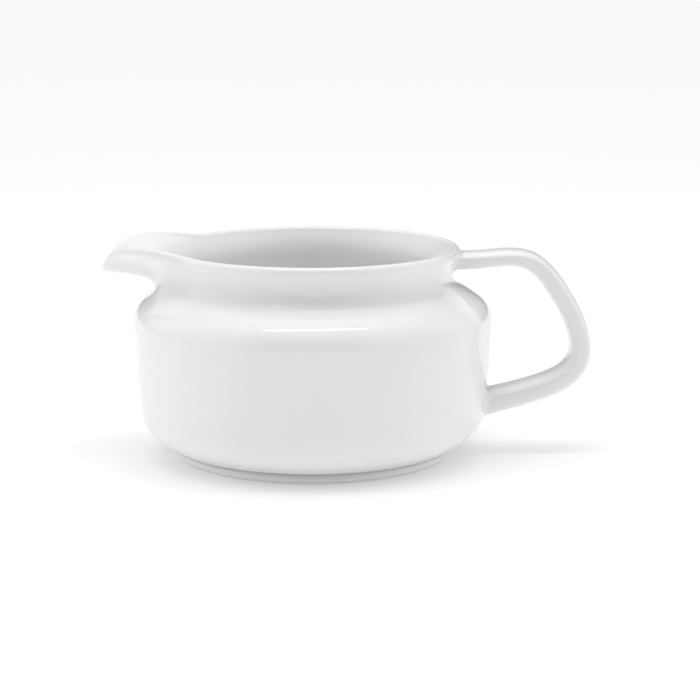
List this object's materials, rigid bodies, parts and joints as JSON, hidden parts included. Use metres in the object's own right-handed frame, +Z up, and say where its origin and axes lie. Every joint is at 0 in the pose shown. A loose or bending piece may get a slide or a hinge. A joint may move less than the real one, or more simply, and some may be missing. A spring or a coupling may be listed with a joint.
{
  "type": "gravy boat",
  "caption": "Round white porcelain sauce jug with a stepped-in neck, a wide pouring beak and an angular strap handle.",
  "frame": {"origin": "on the bowl's vertical axis, in the plane that the foot ring stands on", "axes": "+Z up, +X towards the handle, so that the beak points along -X; the part is symmetric about the XZ plane"},
  "size_m": [0.1572, 0.115, 0.0687],
  "materials": {
    "white_glaze": "clear gloss glaze over white porcelain",
    "bare_porcelain": "unglazed, ground and polished matte standing face"
  },
  "bodies": {
    "root": {"bowl": "white_glaze", "spout": "white_glaze", "handle": "white_glaze", "upper_joint_slip": "white_glaze", "lower_joint_slip": "white_glaze", "foot_ring": "bare_porcelain"}
  },
  "joints": []
}
